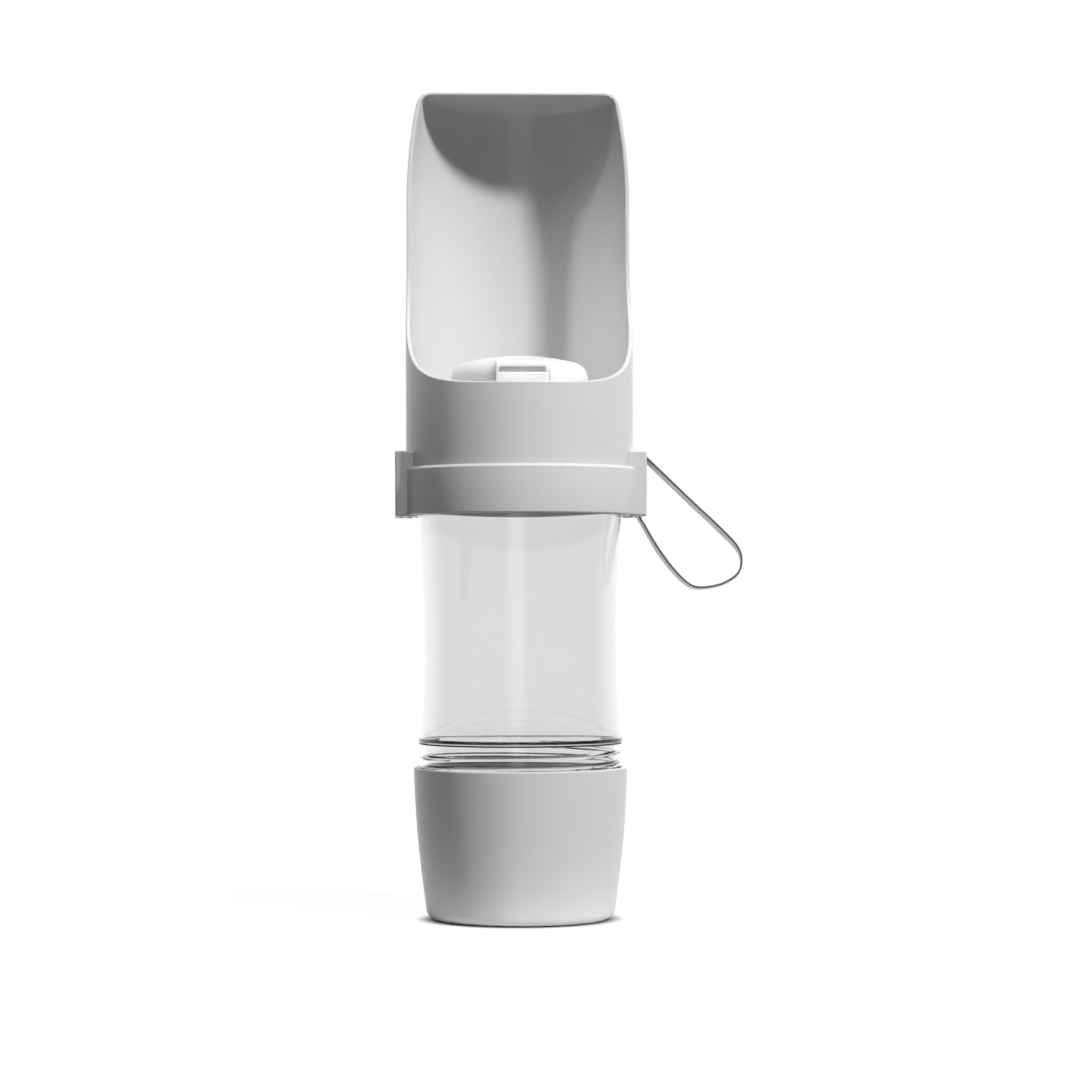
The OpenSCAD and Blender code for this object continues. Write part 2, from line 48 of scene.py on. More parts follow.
# camera
# The photograph is 1080 by 1069 pixels. The camera looks straight ahead from this far off
# the bottle's axis and this high, the bottle is turned a little from it, and the picture
# leans by a trace.
DISTANCE, CAMERA_Z = 966.5 * MM, 95.4 * MM
TURN, LEAN = radians(2.5), radians(-0.17)
camera_data = bpy.data.cameras.new("camera")
camera_data.sensor_width = 36
camera_data.lens = 104.33
camera_data.shift_x = 0.0185
camera_data.shift_y = 0.069
camera_data.clip_start = 0.05
camera_data.dof.use_dof = False
camera = bpy.data.objects.new("camera", camera_data)
bpy.context.scene.collection.objects.link(camera)
camera.matrix_world = (
    Matrix.Translation((-DISTANCE * sin(TURN), -DISTANCE * cos(TURN), CAMERA_Z))
    @ Matrix.Rotation(-TURN, 4, "Z")
    @ Matrix.Rotation(radians(90), 4, "X")
    @ Matrix.Rotation(LEAN, 4, "Z")
)
bpy.context.scene.camera = camera
bpy.context.scene.view_settings.view_transform = "Standard"


# tools
# Edges flatter than SMOOTH shade as round. All three screw threads have the same pitch.
SMOOTH = radians(35)
SAME_POINT = 0.002 * MM
PITCH, STEPS_A_TURN = 3.0, 96


def start(name):
    """Names the primitive that was just added and opens it for editing."""
    piece = bpy.context.object
    piece.name = name
    piece.data.name = name
    bpy.ops.object.mode_set(mode="EDIT")
    return piece


def done(piece):
    """Closes the edit, puts the piece's place into its mesh and smooths its rounder faces."""
    bpy.ops.object.mode_set(mode="OBJECT")
    bpy.ops.object.transform_apply(location=True, rotation=True, scale=True)
    bpy.ops.object.shade_smooth_by_angle(angle=SMOOTH)
    return piece


def spin_round(angle):
    """Turns what is selected about the bottle's axis, by degrees against the clock seen from
    above. With no window open the operator turns the other way, hence the sign."""
    bpy.ops.transform.rotate(value=radians(-angle), orient_axis="Z", center_override=(0, 0, 0))


def pick(piece):
    """Makes this piece the only selected and the active one."""
    bpy.ops.object.select_all(action="DESELECT")
    piece.select_set(True)
    bpy.context.view_layer.objects.active = piece


def arc(mid_x, mid_y, r, a, b, steps=8):
    """Points of an arc in a drawing plane, in mm, from a to b degrees."""
    return [(mid_x + r * cos(radians(a + (b - a) * i / steps)),
             mid_y + r * sin(radians(a + (b - a) * i / steps))) for i in range(steps + 1)]


def round_corners(points, radii, steps=5):
    """A closed outline with rounded corners; radii is one radius in mm, or one for each
    corner's number, and the corners it leaves out stay sharp."""
    out = []
    n = len(points)
    for i in range(n):
        p = Vector(points[i])
        r = radii.get(i, 0) if isinstance(radii, dict) else radii
        if not r:
            out.append(tuple(p))
            continue
        to_a = (Vector(points[i - 1]) - p).normalized()
        to_b = (Vector(points[(i + 1) % n]) - p).normalized()
        half = acos(max(-1, min(1, to_a.dot(to_b)))) / 2
        cut = r / abs(sin(half) / cos(half))
        a, b = p + to_a * cut, p + to_b * cut
        mid = p + (to_a + to_b).normalized() * (r / sin(half))
        start_a = atan2(a.y - mid.y, a.x - mid.x)
        sweep = (atan2(b.y - mid.y, b.x - mid.x) - start_a + pi) % (2 * pi) - pi
        out += [(mid.x + r * cos(start_a + sweep * k / steps),
                 mid.y + r * sin(start_a + sweep * k / steps)) for k in range(steps + 1)]
    return out


def draw(name, points, plane="XZ"):
    """A closed outline in mm, started as one point of a plane primitive and extruded from
    point to point."""
    bpy.ops.object.select_all(action="DESELECT")
    bpy.ops.mesh.primitive_plane_add(size=MM)
    piece = start(name)
    bpy.ops.mesh.select_mode(type="VERT")
    bpy.ops.mesh.merge(type="CENTER")

    def place(p):
        across, up = p[0] * MM, p[1] * MM
        return Vector((across, 0, up) if plane == "XZ" else (0, across, up))

    bpy.ops.transform.translate(value=place(points[0]))
    for a, b in zip(points, points[1:]):
        bpy.ops.mesh.extrude_region_move(TRANSFORM_OT_translate={"value": place(b) - place(a)})
    bpy.ops.object.mode_set(mode="OBJECT")
    for v in piece.data.vertices:
        v.select = v.index in (0, len(points) - 1)
    bpy.ops.object.mode_set(mode="EDIT")
    bpy.ops.mesh.edge_face_add()
    bpy.ops.mesh.select_all(action="SELECT")
    return piece


def turned(name, outline, steps=144, middle=(0, 0, 0)):
    """A piece turned on an upright axis from a closed outline of radius and height in mm;
    the axis is the bottle's own unless middle moves it."""
    piece = draw(name, outline)
    bpy.ops.mesh.spin(steps=steps, angle=2 * pi, center=(0, 0, 0), axis=(0, 0, 1))
    bpy.ops.mesh.select_all(action="SELECT")
    bpy.ops.mesh.remove_doubles(threshold=SAME_POINT)
    bpy.ops.mesh.normals_make_consistent(inside=False)
    if middle != (0, 0, 0):
        bpy.ops.transform.translate(value=Vector(middle) * MM)
    return done(piece)


def prism(name, outline, half, plane="YZ"):
    """A straight bar with this outline, reaching half its length to each side, in mm."""
    piece = draw(name, outline, plane=plane)
    bpy.ops.mesh.edge_face_add()
    along = Vector((2 * half * MM, 0, 0)) if plane == "YZ" else Vector((0, 2 * half * MM, 0))
    bpy.ops.transform.translate(value=-along / 2)
    bpy.ops.mesh.extrude_region_move(TRANSFORM_OT_translate={"value": along})
    bpy.ops.mesh.select_all(action="SELECT")
    bpy.ops.mesh.normals_make_consistent(inside=False)
    return done(piece)


def shift(piece, x=0, y=0):
    """Moves a piece to the side, in mm."""
    pick(piece)
    bpy.ops.transform.translate(value=(x * MM, y * MM, 0))
    bpy.ops.object.transform_apply(location=True)


def block(name, x0, x1, width, z0, z1):
    """Starts an upright block on the X axis, between two radii and two heights, in mm."""
    bpy.ops.object.select_all(action="DESELECT")
    bpy.ops.mesh.primitive_cube_add(size=MM)
    piece = start(name)
    bpy.ops.transform.resize(value=(x1 - x0, width, z1 - z0))
    bpy.ops.transform.translate(value=Vector(((x0 + x1) / 2, 0, (z0 + z1) / 2)) * MM)
    return piece


def combine(piece, tool, how="DIFFERENCE"):
    """Cuts the tool out of the piece, or joins it on, and throws the tool away."""
    pick(piece)
    cut = piece.modifiers.new("cut", "BOOLEAN")
    cut.object = tool
    cut.operation = how
    cut.solver = "EXACT"
    bpy.ops.object.modifier_apply(modifier=cut.name)
    bpy.data.objects.remove(tool)


def soften(piece, width, angle=40, segments=3, weld=0.001):
    """Rounds edges sharper than the angle to this width in mm, after points closer than
    weld are joined, and evens the shading of the faces beside them."""
    pick(piece)
    bpy.ops.object.mode_set(mode="EDIT")
    bpy.ops.mesh.select_all(action="SELECT")
    bpy.ops.mesh.remove_doubles(threshold=weld * MM)
    bpy.ops.mesh.dissolve_degenerate(threshold=0.001 * MM)
    bpy.ops.object.mode_set(mode="OBJECT")
    bevel = piece.modifiers.new("soften", "BEVEL")
    bevel.width = width * MM
    bevel.segments = segments
    bevel.limit_method = "ANGLE"
    bevel.angle_limit = radians(angle)
    bevel.use_clamp_overlap = False
    bevel.miter_outer = "MITER_ARC"
    bpy.ops.object.modifier_apply(modifier=bevel.name)
    bpy.ops.object.shade_smooth_by_angle(angle=SMOOTH)
    even = piece.modifiers.new("even", "WEIGHTED_NORMAL")
    even.keep_sharp = True
    bpy.ops.object.modifier_apply(modifier=even.name)


def thread(name, profile, z, turns, fade=0.12, start_at=0):
    """A right-handed screw ridge. The profile is its closed outline of radius and height
    above z, in mm, and starts on the wall that carries it; the ridge rises from that wall
    over the first fade of a turn and sinks back over the last."""
    piece = draw(name, [(r, z + h) for r, h in profile])
    bpy.ops.object.mode_set(mode="OBJECT")
    n = len(profile)
    rings = int(STEPS_A_TURN * turns)
    wind = piece.modifiers.new("wind", "SCREW")
    wind.axis = "Z"
    wind.angle = 2 * pi * turns
    wind.screw_offset = PITCH * turns * MM
    wind.steps = wind.render_steps = rings
    wind.use_merge_vertices = False
    bpy.ops.object.modifier_apply(modifier=wind.name)
    root = profile[0][0]
    for v in piece.data.vertices:
        r = hypot(v.co.x, v.co.y)
        ring = v.index // n
        t = min(ring, rings - ring) / rings * turns
        ease = min(1, t / fade)
        ease = ease * ease * (3 - 2 * ease)
        new = root * MM + (r - root * MM) * ease
        v.co.x *= new / r
        v.co.y *= new / r
    bpy.ops.object.mode_set(mode="EDIT")
    bpy.ops.mesh.select_all(action="DESELECT")
    bpy.ops.mesh.select_mode(type="EDGE")
    bpy.ops.mesh.select_non_manifold(extend=False, use_multi_face=False, use_non_contiguous=False)
    bpy.ops.mesh.fill_holes(sides=n + 2)
    bpy.ops.mesh.select_all(action="SELECT")
    if start_at:
        spin_round(start_at)
    bpy.ops.mesh.normals_make_consistent(inside=False)
    return done(piece)


def smoothed(cad_node):
    """A copy of a node's mesh with its points joined, so that its round faces shade as round."""
    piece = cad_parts[cad_node].copy()
    piece.data = piece.data.copy()
    for key in list(piece.keys()):
        del piece[key]
    piece.parent = None
    piece.name = piece.data.name = cad_node + "_finished"
    bpy.context.scene.collection.objects.link(piece)
    pick(piece)
    bpy.ops.object.mode_set(mode="EDIT")
    bpy.ops.mesh.select_all(action="SELECT")
    bpy.ops.mesh.remove_doubles(threshold=SAME_POINT)
    bpy.ops.object.mode_set(mode="OBJECT")
    bpy.ops.object.shade_smooth_by_angle(angle=radians(28))
    return piece


# materials
def srgb(code):
    """Linear colour of an sRGB hex code."""
    parts = [int(code[i:i + 2], 16) / 255 for i in (1, 3, 5)]
    return tuple(c / 12.92 if c <= 0.04045 else ((c + 0.055) / 1.055) ** 2.4 for c in parts) + (1,)


WHITE = srgb("#ffffff")


def node(tree, kind, settings=(), inputs=(), links=()):
    """Adds one node with its settings and socket values, and links (output, input) pairs to it."""
    made = tree.nodes.new(kind)
    for key, value in dict(settings).items():
        setattr(made, key, value)
    for key, value in dict(inputs).items():
        made.inputs[key].default_value = value
    for output, key in links:
        tree.links.new(output, made.inputs[key])
    return made


def material(name, **values):
    """A new material with its shader's own values set; gives the material, its node tree
    and the shader."""
    made = bpy.data.materials.new(name)
    made.use_nodes = True
    tree = made.node_tree
    shader = tree.nodes["Principled BSDF"]
    for key, value in values.items():
        shader.inputs[key.replace("_", " ")].default_value = value
    return made, tree, shader


def moulded_abs(name, light, dark, rough, glow=0.0, polish=0.0):
    # Injection-moulded ABS from a spark-eroded tool: satin, with an even fine grain.
    # The grain of about 0.2 mm is drawn at 0.45 mm, since it is too fine to show, and a
    # faint cloud of 30 mm stands for the flow of the melt.
    made, tree, shader = material(name, IOR=1.53)
    place = node(tree, "ShaderNodeTexCoord").outputs["Object"]
    grain = node(tree, "ShaderNodeTexNoise", {},
                 {"Scale": 1 / (0.45 * MM), "Detail": 2.0, "Roughness": 0.6}, [(place, "Vector")])
    flow = node(tree, "ShaderNodeTexNoise", {},
                {"Scale": 1 / (30 * MM), "Detail": 3.0, "Roughness": 0.5}, [(place, "Vector")])
    tint = node(tree, "ShaderNodeMix", {"data_type": "RGBA"}, {6: srgb(dark), 7: srgb(light)},
                [(flow.outputs["Fac"], 0)])
    gloss = node(tree, "ShaderNodeMapRange", {},
                 {"From Min": 0.3, "From Max": 0.7, "To Min": rough - 0.04, "To Max": rough + 0.05},
                 [(grain.outputs["Fac"], "Value")])
    bump = node(tree, "ShaderNodeBump", {}, {"Strength": 0.05, "Distance": 0.02 * MM},
                [(grain.outputs["Fac"], "Height")])
    # Faces that look to the bottle's axis came off the polished core of the tool.
    about = node(tree, "ShaderNodeNewGeometry")
    flat = node(tree, "ShaderNodeVectorMath", {"operation": "MULTIPLY"}, {1: (1, 1, 0)},
                [(about.outputs["Position"], 0)])
    facing = node(tree, "ShaderNodeVectorMath", {"operation": "DOT_PRODUCT"}, {},
                  [(flat.outputs["Vector"], 0), (about.outputs["Normal"], 1)])
    core = node(tree, "ShaderNodeMath", {"operation": "LESS_THAN"}, {1: -0.005},
                [(facing.outputs["Value"], 0)])
    drop = node(tree, "ShaderNodeMath", {"operation": "MULTIPLY"}, {1: polish},
                [(core.outputs[0], 0)])
    finish = node(tree, "ShaderNodeMath", {"operation": "SUBTRACT"}, {},
                  [(gloss.outputs["Result"], 0), (drop.outputs[0], 1)])
    tree.links.new(tint.outputs[2], shader.inputs["Base Color"])
    tree.links.new(finish.outputs[0], shader.inputs["Roughness"])
    tree.links.new(bump.outputs["Normal"], shader.inputs["Normal"])
    # Unfilled white resin carries light some millimetres through the wall.
    shader.inputs["Subsurface Weight"].default_value = glow
    shader.inputs["Subsurface Radius"].default_value = (1.0, 1.0, 1.0)
    shader.inputs["Subsurface Scale"].default_value = 8 * MM
    return made


grey_abs = moulded_abs("pale_grey_satin_ABS", "#cbcbca", "#c7c7c6", 0.42, polish=0.06)
# The neck cap is the dome's white plastic, painted a shade greyer as painted shade, so that its
# top, which takes much light, does not burn out to white.
white_abs_painted_shade = moulded_abs("white_satin_ABS_painted_shade", "#d8d8d7", "#d5d5d4", 0.4)
white_abs = moulded_abs("white_satin_ABS", "#ececeb", "#e9e9e8", 0.38, glow=0.9)


def clear_copolyester():
    # Clear copolyester, injection moulded against polished steel: sharp reflections and
    # a faint cool grey in its depth. A slow ripple of 12 mm from cooling bends them a little.
    made, tree, shader = material("clear_copolyester", IOR=1.54, Roughness=0.015)
    shader.inputs["Transmission Weight"].default_value = 1.0
    # A sight line along the wall leaves it after one crossing and keeps nearly all its light.
    turn = node(tree, "ShaderNodeLayerWeight", {}, {"Blend": 0.5})
    rim = node(tree, "ShaderNodeMapRange", {"interpolation_type": "SMOOTHSTEP"},
               {"From Min": 0.36, "From Max": 0.6}, [(turn.outputs["Facing"], "Value")])
    tint = node(tree, "ShaderNodeMix", {"data_type": "RGBA"},
                {6: srgb("#eeeeee"), 7: srgb("#fdfdfd")}, [(rim.outputs["Result"], 0)])
    tree.links.new(tint.outputs[2], shader.inputs["Base Color"])
    place = node(tree, "ShaderNodeTexCoord")
    ripple = node(tree, "ShaderNodeTexNoise", {}, {"Scale": 1 / (12 * MM), "Detail": 1.0},
                  [(place.outputs["Object"], "Vector")])
    bump = node(tree, "ShaderNodeBump", {}, {"Strength": 0.05, "Distance": 0.03 * MM},
                [(ripple.outputs["Fac"], "Height")])
    tree.links.new(bump.outputs["Normal"], shader.inputs["Normal"])
    return made


clear_plastic = clear_copolyester()


def silicone(name, code, rough):
    # Compression-moulded silicone: soft matte skin that gathers a little dust, in specks
    # of about 0.6 mm, with a velvety edge.
    made, tree, shader = material(name, IOR=1.41, Roughness=rough)
    shader.inputs["Sheen Weight"].default_value = 0.12
    shader.inputs["Sheen Roughness"].default_value = 0.4
    place = node(tree, "ShaderNodeTexCoord")
    dust = node(tree, "ShaderNodeTexNoise", {}, {"Scale": 1 / (0.6 * MM), "Detail": 3.0},
                [(place.outputs["Object"], "Vector")])
    base = srgb(code)
    pale = tuple(min(1, c * 1.25 + 0.01) for c in base[:3]) + (1,)
    tint = node(tree, "ShaderNodeMix", {"data_type": "RGBA"}, {6: base, 7: pale},
                [(dust.outputs["Fac"], 0)])
    bump = node(tree, "ShaderNodeBump", {}, {"Strength": 0.12, "Distance": 0.02 * MM},
                [(dust.outputs["Fac"], "Height")])
    tree.links.new(tint.outputs[2], shader.inputs["Base Color"])
    tree.links.new(bump.outputs["Normal"], shader.inputs["Normal"])
    return made


dark_silicone = silicone("dark_silicone", "#2c2c2e", 0.5)
pale_silicone = silicone("pale_silicone", "#cfcfcd", 0.55)


def turned_steel():
    # Stainless steel, turned on a lathe: tool marks run round it every 0.3 mm, drawn coarse.
    made, tree, shader = material("turned_stainless_steel", Metallic=1.0, Roughness=0.3)
    shader.inputs["Base Color"].default_value = srgb("#c8c9ca")
    place = node(tree, "ShaderNodeTexCoord")
    marks = node(tree, "ShaderNodeTexWave", {"wave_type": "RINGS", "rings_direction": "Z"},
                 {"Scale": 1 / (6.28 * 0.3 * MM), "Distortion": 0.4},
                 [(place.outputs["Object"], "Vector")])
    bump = node(tree, "ShaderNodeBump", {}, {"Strength": 0.2, "Distance": 0.01 * MM},
                [(marks.outputs["Fac"], "Height")])
    tree.links.new(bump.outputs["Normal"], shader.inputs["Normal"])
    return made


steel = turned_steel()


def strap_band():
    # Extruded thermoplastic rubber band: grey, smooth along its length, with fine lines of
    # 0.5 mm from the die, and darker and more olive towards its edges.
    made, tree, shader = material("grey_rubber_band", IOR=1.5, Roughness=0.38)
    along = node(tree, "ShaderNodeUVMap", {"uv_map": "band"})
    parts = node(tree, "ShaderNodeSeparateXYZ", links=[(along.outputs["UV"], "Vector")])
    lines = node(tree, "ShaderNodeTexWave", {"wave_type": "BANDS", "bands_direction": "Y"},
                 {"Scale": 1.5}, [(along.outputs["UV"], "Vector")])
    middle = node(tree, "ShaderNodeMath", {"operation": "SUBTRACT"}, {1: 0.5},
                  [(parts.outputs["Y"], 0)])
    side = node(tree, "ShaderNodeMath", {"operation": "ABSOLUTE"}, {},
                [(middle.outputs["Value"], 0)])
    edge = node(tree, "ShaderNodeMapRange", {}, {"From Min": 0.36, "From Max": 0.5},
                [(side.outputs["Value"], "Value")])
    tint = node(tree, "ShaderNodeMix", {"data_type": "RGBA"},
                {6: srgb("#9a9a95"), 7: srgb("#5f5f54")}, [(edge.outputs["Result"], 0)])
    bump = node(tree, "ShaderNodeBump", {}, {"Strength": 0.04, "Distance": 0.02 * MM},
                [(lines.outputs["Fac"], "Height")])
    tree.links.new(tint.outputs[2], shader.inputs["Base Color"])
    tree.links.new(bump.outputs["Normal"], shader.inputs["Normal"])
    return made


band_rubber = strap_band()


def dress(piece, finish, body, *replaced, slot):
    """Gives a piece its finish and body, and hides the nodes that it stands for; slot is not used.
    """
    piece.data.materials.clear()
    piece.data.materials.append(finish)
    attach(piece, body)
    if replaced:
        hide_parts(*replaced)


# wrist strap
# Its route through the ear, over the bar and round the loop: X from the slot, Z from the
# ear's top in the upper part and from its foot in the lower part, and the roll in degrees.
STRAP_UPPER = [
    (0, -14.7, 0), (-0.05, -10.2, 0), (0, -6.7, -1), (0.05, -4.2, -1), (0.45, -2.1, -2),
    (1.35, -1.5, -3), (2.45, -2.1, -3), (4.45, -4, -3), (7.45, -6.9, -3), (12.45, -11.7, -3),
    (17.45, -16.5, -3), (22.45, -21.1, -3), (26.45, -25, -3), (29.15, -27.7, -2),
    (30.85, -29.9, 0), (31.85, -32.1, 3), (32.05, -34.3, 5), (31.65, -36.4, 6),
]
STRAP_LOWER = [
    (30.45, -18.3, 6), (28.45, -19.7, 5), (25.45, -21.1, 4), (21.45, -21.9, 3),
    (18.45, -22, 3), (16.05, -21.3, 2), (13.45, -19.3, 2), (9.85, -15.4, 2),
    (6.15, -10.3, 2), (3.45, -5.8, 1), (1.65, -2.6, 1), (0.15, 0.2, 0),
]
STRAP_WIDTH, STRAP_THICK, STRAP_EDGE = 9, 0.6, 0.28
SLOT_X = 36.55
ear_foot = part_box("collar")[0].z / MM
ear_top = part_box("collar")[1].z / MM
strap_route = ([(x + SLOT_X, z + ear_top, roll) for x, z, roll in STRAP_UPPER]
               + [(x + SLOT_X, z + ear_foot, roll) for x, z, roll in STRAP_LOWER])


def smooth_route(points, steps=5):
    """Points on a smooth closed curve through the route's points."""
    n = len(points)
    out = []
    for i in range(n):
        p0, p1, p2, p3 = (points[(i + k) % n] for k in (-1, 0, 1, 2))
        for s in range(steps):
            t = s / steps
            out.append(tuple(0.5 * ((2 * b) + (c - a) * t + (2 * a - 5 * b + 4 * c - d) * t * t
                                    + (3 * b - a - 3 * c + d) * t ** 3)
                             for a, b, c, d in zip(p0, p1, p2, p3)))
    return out


def wrist_strap():
    """A band with rounded edges, laid face by face along the route, with a UV map whose U
    grows by one in eight steps along it and whose V crosses it."""
    route = smooth_route(strap_route)
    half, thick, edge = STRAP_WIDTH / 2, STRAP_THICK / 2, STRAP_EDGE
    round_edge = [radians(a) for a in (-90, -45, 0, 45, 90)]
    flat_face = (3, 1.5, 0, -1.5, -3)
    section = ([(half - edge + edge * cos(a), (thick - 0.001) * sin(a)) for a in round_edge]
               + [(x, thick) for x in flat_face]
               + [(-half + edge - edge * cos(a), (thick - 0.001) * sin(a))
                  for a in reversed(round_edge)]
               + [(x, -thick) for x in reversed(flat_face)])
    points, uvs, faces = [], [], []
    n, m = len(route), len(section)
    for i, (x, z, roll) in enumerate(route):
        before, after = route[i - 1], route[(i + 1) % n]
        run = Vector((after[0] - before[0], 0, after[1] - before[1])).normalized()
        side = run.cross(Vector((0, 1, 0)))
        wide = Vector((0, 1, 0)) * cos(radians(roll)) + side * sin(radians(roll))
        face = wide.cross(run)
        for a, b in section:
            points.append((Vector((x, 0, z)) + wide * a + face * b) * MM)
            uvs.append((i / 8, 0.5 + a / STRAP_WIDTH))
    for i in range(n):
        here, ahead = i * m, ((i + 1) % n) * m
        for j in range(m):
            beside = (j + 1) % m
            faces.append((here + j, here + beside, ahead + beside, ahead + j))
    mesh = bpy.data.meshes.new("wrist_strap")
    mesh.from_pydata(points, [], faces)
    layer = mesh.uv_layers.new(name="band")
    for loop in mesh.loops:
        layer.data[loop.index].uv = uvs[loop.vertex_index]
    piece = bpy.data.objects.new("wrist_strap", mesh)
    bpy.context.scene.collection.objects.link(piece)
    pick(piece)
    bpy.ops.object.mode_set(mode="EDIT")
    bpy.ops.mesh.select_all(action="SELECT")
    bpy.ops.mesh.normals_make_consistent(inside=False)
    bpy.ops.object.mode_set(mode="OBJECT")
    bpy.ops.object.shade_smooth_by_angle(angle=radians(50))
    return piece, route


strap, route = wrist_strap()
dress(strap, band_rubber, "hood", "strap", slot="grey_strap")
# The clear wall beside the band shows no dark mirror image of it.
strap.visible_glossy = False


# drinking hood
# The barrel tapers to the top on a long arc of TAPER_R. The opening's plane lies
# OPENING_BACK behind the axis and sweeps out to the lip on a quarter circle.
HOOD_R, HOOD_WALL, ROOF_WALL = 35.0, 1.35, 1
HOOD_FOOT, TAPER_Z, HOOD_TOP = 127.6, 222.0, 255.8
TAPER_R = 150
BEAD_TOP, BEAD_DEEP = 136.7, 1.05
LIP_Z, SWEEP_R, OPENING_BACK = 163.3, 40, 5
BARREL_RINGS = (140, 155, 170, 185, 200, 212)
ROOF_RINGS = (22, 16, 10, 5, 0)


def hood_outline():
    """Section of the hood as a closed shell: wall, taper, roof and the stop bead inside."""
    mid = HOOD_R - TAPER_R
    edge_r, inner_r, roof = 5, 3.4, HOOD_TOP - ROOF_WALL
    edge_z = HOOD_TOP - edge_r
    edge_x = mid + sqrt((TAPER_R - edge_r) ** 2 - (edge_z - TAPER_Z) ** 2)
    edge_a = degrees(atan2(edge_z - TAPER_Z, edge_x - mid))
    in_r = TAPER_R - HOOD_WALL
    in_z = roof - inner_r
    in_x = mid + sqrt((in_r - inner_r) ** 2 - (in_z - TAPER_Z) ** 2)
    in_a = degrees(atan2(in_z - TAPER_Z, in_x - mid))
    bore = HOOD_R - HOOD_WALL
    bead = bore - BEAD_DEEP
    outer = [(HOOD_R - 0.3, HOOD_FOOT), (HOOD_R, HOOD_FOOT + 0.3)]
    outer += [(HOOD_R, z) for z in BARREL_RINGS]
    outer += arc(mid, TAPER_Z, TAPER_R, 0, edge_a, 14)
    outer += arc(edge_x, edge_z, edge_r, edge_a + 6, 90, 12)
    outer += [(r, HOOD_TOP) for r in ROOF_RINGS]
    inner = [(r, roof) for r in reversed(ROOF_RINGS)]
    inner += arc(in_x, in_z, inner_r, 90, in_a + 6, 12)
    inner += arc(mid, TAPER_Z, in_r, in_a, 0, 14)
    inner += [(bore, z) for z in reversed(BARREL_RINGS)]
    inner += [(bore, BEAD_TOP + 0.3), (bead, BEAD_TOP), (bead, BEAD_TOP - 1.2),
              (bore, BEAD_TOP - 2), (bore, HOOD_FOOT + 0.2), (bore + 0.2, HOOD_FOOT)]
    return outer + inner


hood = turned("drinking_hood_shell", hood_outline(), steps=180)
sweep_y = SWEEP_R - OPENING_BACK
opening = prism("opening", [(OPENING_BACK, HOOD_TOP + 6)]
                + [(-y, z) for y, z in arc(sweep_y, LIP_Z + SWEEP_R, SWEEP_R, 180, 270, 36)]
                + [(-60, LIP_Z), (-60, HOOD_TOP + 6)], 45)
combine(hood, opening)
soften(hood, 0.4, angle=50, weld=0.12)
dress(hood, grey_abs, "hood", "drinking_hood", slot="pale_grey_plastic")


# collar and strap ears
COLLAR_FOOT, COLLAR_TOP, COLLAR_R = 124.2, 138.8, 36.8
LEDGE_R, LEDGE_Z = 33.3, 127.5
EAR_FOOT, EAR_TOP, EAR_BAR = 123.8, 143.7, 140.5
EAR_IN, EAR_OUT, EAR_WIDE = 31.0, 38.4, 24
NOTCH_X = 38
collar_bore = HOOD_R + 0.05
collar = turned("collar_ring", round_corners(
    [(LEDGE_R, COLLAR_FOOT), (COLLAR_R, COLLAR_FOOT), (COLLAR_R, COLLAR_TOP - 0.75),
     (COLLAR_R - 0.85, COLLAR_TOP), (collar_bore, COLLAR_TOP), (collar_bore, LEDGE_Z),
     (LEDGE_R, LEDGE_Z)],
    {0: 0.3, 1: 0.45, 2: 0.25, 3: 0.25, 4: 0.2, 6: 0.3}), steps=160)
dress(collar, grey_abs, "hood", "collar", slot="pale_grey_plastic")


def strap_ear(name, side):
    """One ear of the collar: a block with the strap's slot behind a bar, and a notch that
    opens the slot to the outside over the bar."""
    ear = block(name, EAR_IN, EAR_OUT, EAR_WIDE, EAR_FOOT, EAR_TOP)
    done(ear)
    over, under, half = EAR_TOP + 1, EAR_FOOT - 1, 5
    slot = prism("slot", [(-half, under), (half, under), (half, over), (-half, over)], 0.55)
    shift(slot, x=SLOT_X)
    combine(ear, slot)
    notch = prism("notch", [(-half, EAR_BAR), (half, EAR_BAR), (half, over), (-half, over)], 1.5)
    shift(notch, x=NOTCH_X)
    combine(ear, notch)
    soften(ear, 0.5)
    over, under = EAR_TOP + 2, EAR_FOOT - 2
    combine(ear, turned("ear_bore", [(0, under), (collar_bore, under), (collar_bore, over),
                                     (0, over)], steps=160))
    bpy.ops.object.shade_smooth_by_angle(angle=SMOOTH)
    if side < 0:
        pick(ear)
        bpy.ops.object.mode_set(mode="EDIT")
        bpy.ops.mesh.select_all(action="SELECT")
        spin_round(-180)
        done(ear)
    dress(ear, grey_abs, "hood", "collar", slot="pale_grey_plastic")


strap_ear("strap_ear_right", 1)
strap_ear("strap_ear_left", -1)


# clear bottle
# The waist's hollow curve comes in by WAIST_IN over WAIST_REACH of height to each side.
FOOT_Z, WAIST_Z, SHOULDER_Z, MOUTH_Z = 54.4, 85.4, 136.5, 156.0
FOOT_R, WAIST_R, SHOULDER_R, WALL = 31.65, 30.5, 32.1, 1.4
NECK_R, NECK_Z = 30.15, 42.0
FILL_R, FILL_BORE = 27.4, 26.0
EDGE, SHOULDER_EDGE = 0.3, 2.2
WAIST_IN, WAIST_REACH = 1.15, 31
waist_arc = (WAIST_REACH ** 2 + WAIST_IN ** 2) / (2 * WAIST_IN)
inner_edge = SHOULDER_R - WALL - 1.6, SHOULDER_Z - WALL - 1.6, 1.6


def bow(r_mid, bend, z0, z1, steps):
    """Points of the waist's long hollow curve between two heights."""
    return [(r_mid + bend - sqrt(bend ** 2 - (z0 + (z1 - z0) * i / steps - WAIST_Z) ** 2),
             z0 + (z1 - z0) * i / steps) for i in range(steps + 1)]


